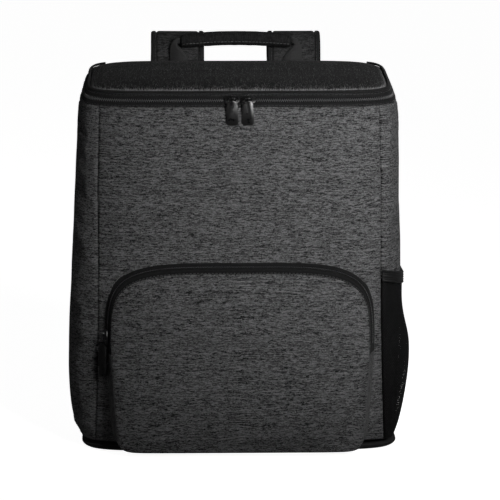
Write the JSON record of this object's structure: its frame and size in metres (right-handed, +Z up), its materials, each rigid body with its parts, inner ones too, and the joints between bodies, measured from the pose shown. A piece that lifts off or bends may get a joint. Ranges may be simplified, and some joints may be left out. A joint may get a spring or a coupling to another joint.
{
  "type": "cooler backpack",
  "caption": "Upright insulated backpack: padded box body, zipped lid with a grab handle, rounded zipped front pocket, net side pocket and padded shoulder straps.",
  "frame": {"origin": "middle of the flat underside of the base", "axes": "+Z up; -Y out of the front, where the large pocket is; +X to the side with the net pocket, on the right of someone who faces the front"},
  "size_m": [0.349, 0.2782, 0.4106],
  "materials": {
    "heather_cloth": "two-tone heathered polyester, matt",
    "lid_cloth": "two-tone heathered polyester over foam, faint sheen",
    "black_cloth": "plain black polyester tape and lining cloth",
    "zip_coil": "nylon coil",
    "net": "knitted polyester net",
    "webbing": "ribbed woven polyester",
    "hard_black": "smooth black plastic and enamelled metal"
  },
  "bodies": {
    "bag": {"front_panel": "heather_cloth", "back_panel": "black_cloth", "side_panel_right": "heather_cloth", "side_panel_left": "heather_cloth", "base_panel": "black_cloth", "base_rim_right": "black_cloth", "base_rim_back": "black_cloth", "base_rim_left": "black_cloth", "base_rim_front": "black_cloth", "lid_panel": "lid_cloth", "lid_zip_lower_tape": "black_cloth", "lid_zip_chain": "zip_coil", "lid_zip_upper_tape": "black_cloth", "lid_piping": "black_cloth", "lid_hinge": "black_cloth", "pocket_panel": "heather_cloth", "pocket_zip_outer_tape": "black_cloth", "pocket_zip_chain": "zip_coil", "pocket_zip_inner_tape": "black_cloth", "pocket_gusset": "heather_cloth", "side_pocket_net": "net", "side_pocket_elastic": "webbing", "strap_yoke": "heather_cloth", "strap_left": "heather_cloth", "strap_left_binding_outer": "black_cloth", "strap_left_binding_inner": "black_cloth", "strap_left_loop": "webbing", "strap_left_adjuster": "hard_black", "strap_left_webbing": "webbing", "strap_left_anchor": "heather_cloth", "strap_right": "heather_cloth", "strap_right_binding_outer": "black_cloth", "strap_right_binding_inner": "black_cloth", "strap_right_loop": "webbing", "strap_right_adjuster": "hard_black", "strap_right_webbing": "webbing", "strap_right_anchor": "heather_cloth", "handle_grip": "heather_cloth", "handle_leg_left": "webbing", "handle_leg_right": "webbing", "lid_slider_left": "hard_black", "lid_slider_right": "hard_black", "pocket_slider": "hard_black"},
    "left_lid_puller": {"lid_puller_left": "hard_black"},
    "right_lid_puller": {"lid_puller_right": "hard_black"},
    "front_pocket_puller": {"pocket_puller": "hard_black"}
  },
  "joints": [
    {"name": "left_lid_puller_swing", "type": "hinge", "parent": "bag", "child": "left_lid_puller", "pos_m": [-0.0078, -0.0939, 0.35668], "axis": [-1, 0, 0], "range_deg": [-2, 190]},
    {"name": "right_lid_puller_swing", "type": "hinge", "parent": "bag", "child": "right_lid_puller", "pos_m": [0.0078, -0.0939, 0.35668], "axis": [-1, 0, 0], "range_deg": [-2, 190]},
    {"name": "pocket_puller_swing", "type": "hinge", "parent": "bag", "child": "front_pocket_puller", "pos_m": [-0.13607, -0.10408, 0.11834], "axis": [-0.2862, 0.9568, -0.0509], "range_deg": [0, 145]}
  ]
}
